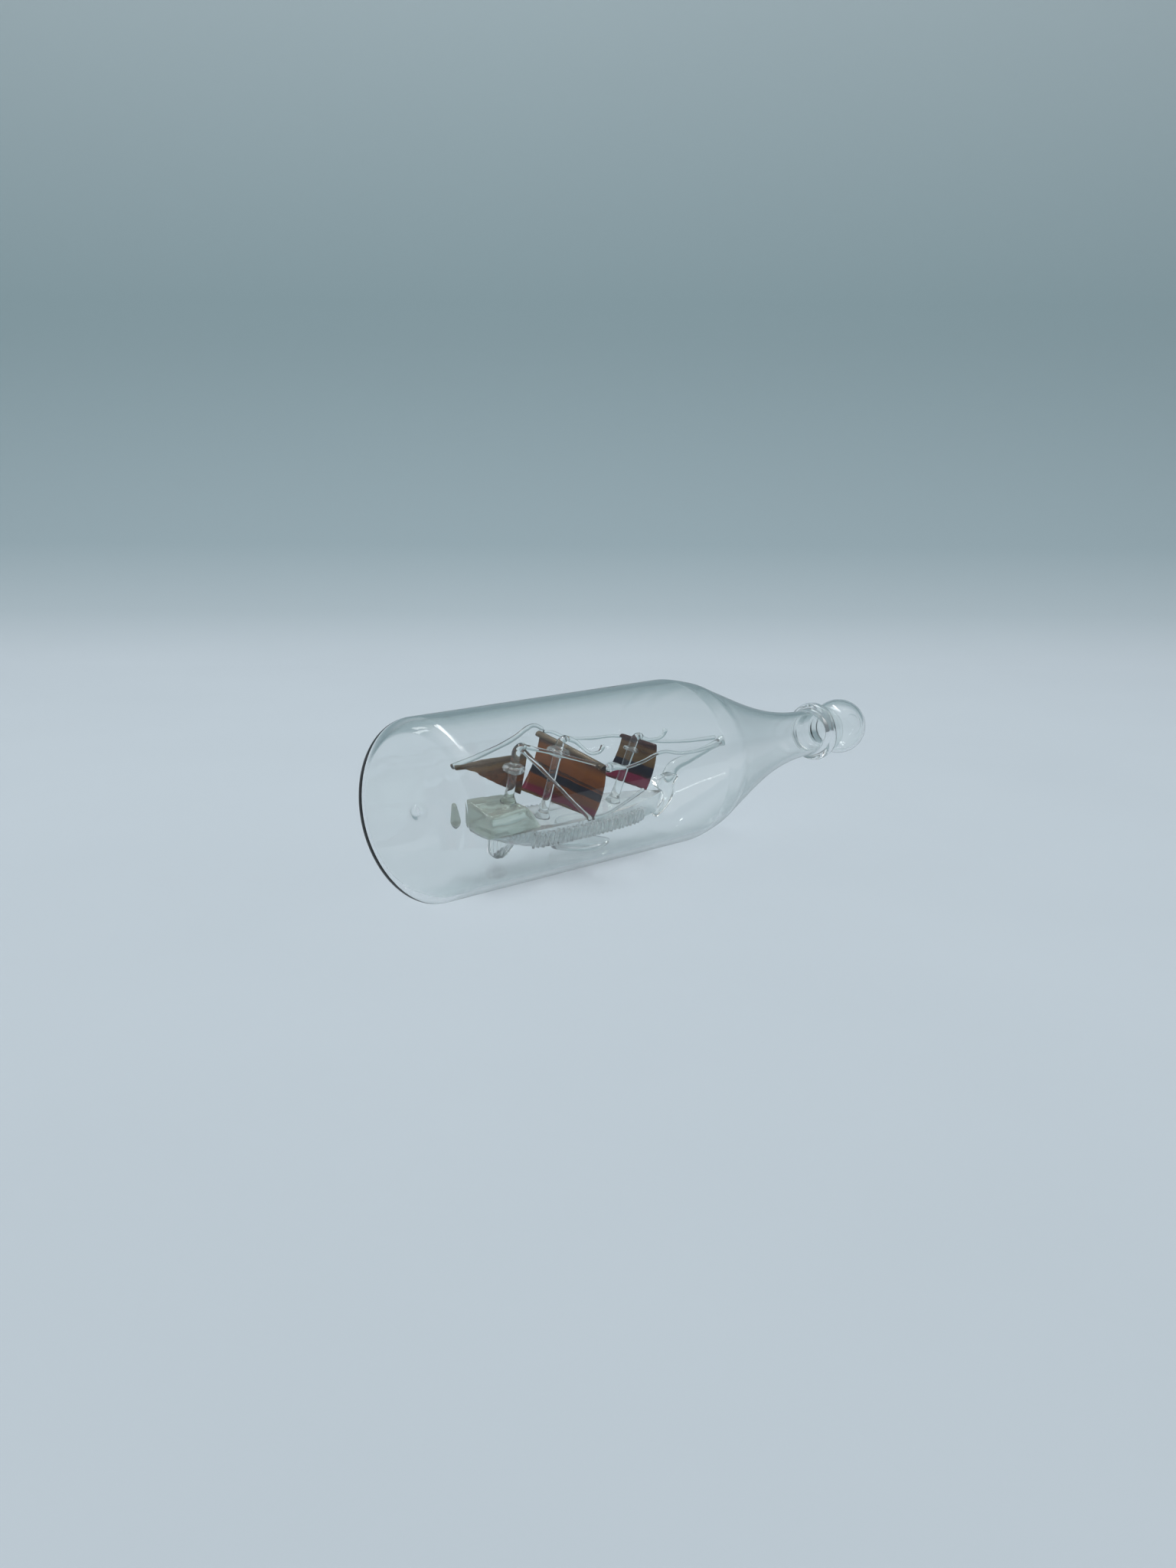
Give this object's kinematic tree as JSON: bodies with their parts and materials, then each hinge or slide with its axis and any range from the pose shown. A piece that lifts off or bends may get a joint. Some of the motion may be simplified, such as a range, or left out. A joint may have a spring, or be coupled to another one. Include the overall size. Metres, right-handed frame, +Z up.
{
  "type": "ship in a bottle",
  "caption": "Clear glass bottle lying on its side, closed by a ball stopper, with a lampworked glass sailing ship inside: amber sails, crimped hull sides and drawn glass rigging.",
  "frame": {"origin": "middle of the bounding box, on the surface the bottle lies on", "axes": "+X along the bottle from its base to its stopper, +Z up, +Y to the ship's far side"},
  "size_m": [0.1758, 0.044, 0.044],
  "materials": {
    "clear_glass": "fire polished, clear",
    "base_glass": "fire polished, clear, slightly grey",
    "sea_green_glass": "translucent grey-green",
    "amber_glass": "dark amber, glossy"
  },
  "bodies": {
    "bottle": {"bottle_body": "clear_glass", "neck_collar": "clear_glass", "hull": "clear_glass", "near_rail": "clear_glass", "far_rail": "clear_glass", "stem_plate": "clear_glass", "bowsprit": "clear_glass", "mid_foot": "clear_glass", "aft_foot": "clear_glass", "mizzen_mast": "clear_glass", "main_mast": "clear_glass", "fore_mast": "clear_glass", "mizzen_top": "clear_glass", "main_top": "clear_glass", "fore_top": "clear_glass", "far_stay": "clear_glass", "near_brace": "clear_glass", "far_brace": "clear_glass", "near_upper_stay": "clear_glass", "near_sheet": "clear_glass", "near_lower_thread": "clear_glass", "main_pennant": "clear_glass", "fore_pennant": "clear_glass", "bottle_base": "base_glass", "stern_castle": "sea_green_glass", "main_sail": "amber_glass", "fore_sail": "amber_glass", "mizzen_sail": "amber_glass"},
    "stopper": {"ball_stopper": "clear_glass"}
  },
  "joints": [
    {"name": "stopper_pull", "type": "slide", "parent": "bottle", "child": "stopper", "axis": [1, 0, 0], "range_m": [0, 0.014]}
  ]
}
